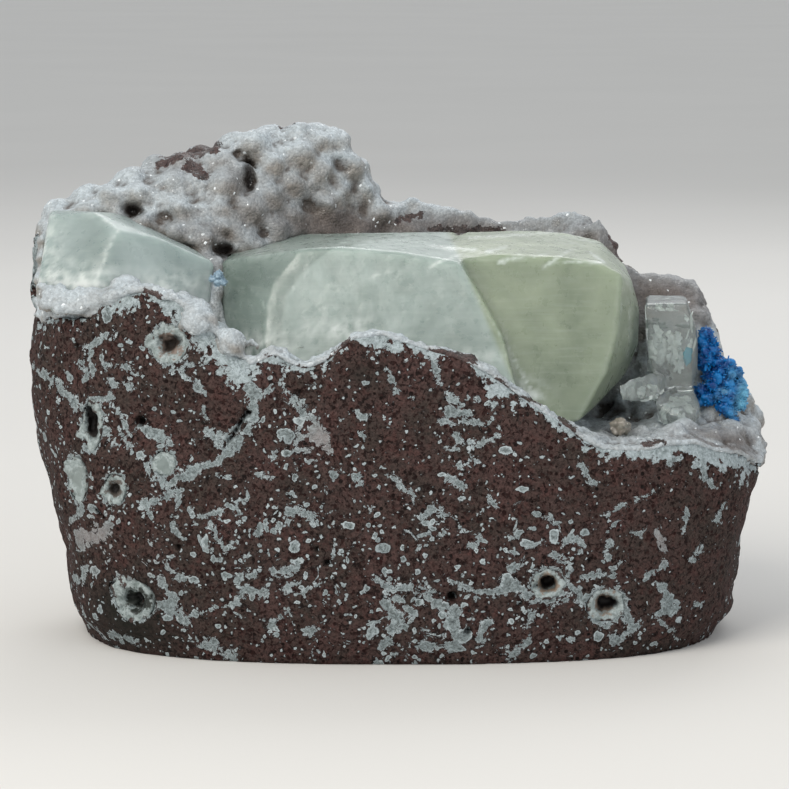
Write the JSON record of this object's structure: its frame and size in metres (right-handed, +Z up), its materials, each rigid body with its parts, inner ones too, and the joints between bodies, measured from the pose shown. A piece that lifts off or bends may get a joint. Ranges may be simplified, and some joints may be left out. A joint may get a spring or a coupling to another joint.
{
  "type": "cavansite mineral specimen on basalt matrix",
  "caption": "Hand specimen: sawn basalt block with an opened cavity lined by zeolite crust, holding pale green calcite crystals and a vivid blue cavansite cluster.",
  "frame": {"origin": "middle of the flat sawn base", "axes": "+Z up from the flat base, +X along the length towards the blue cluster, -Y towards the ground front face"},
  "size_m": [0.1396, 0.0758, 0.0954],
  "materials": {
    "basalt": "dull, reddish brown, ground in front and broken behind",
    "druse": "sugary white to taupe crust",
    "calcite": "translucent, pale green, glossy cleavage faces",
    "clear_calcite": "clear with veils",
    "cavansite": "vivid blue radiating blades",
    "cavansite_pale": "pale blue fine spray",
    "amygdule": "pale blue-green zeolite filling"
  },
  "bodies": {
    "root": {"basalt_matrix": "basalt", "zeolite_druse": "druse", "calcite_left": "calcite", "calcite_main": "calcite", "calcite_clear": "clear_calcite", "calcite_knob": "calcite", "cavansite_cluster": "cavansite", "cavansite_spray": "cavansite_pale", "amygdule_ring": "amygdule", "amygdule_slot": "amygdule", "amygdule_spherulite": "amygdule", "amygdule_oval": "amygdule", "amygdule_nodule": "amygdule", "amygdule_hollow_left": "amygdule", "amygdule_hollow_mid": "amygdule", "amygdule_hollow_right": "amygdule"}
  },
  "joints": []
}
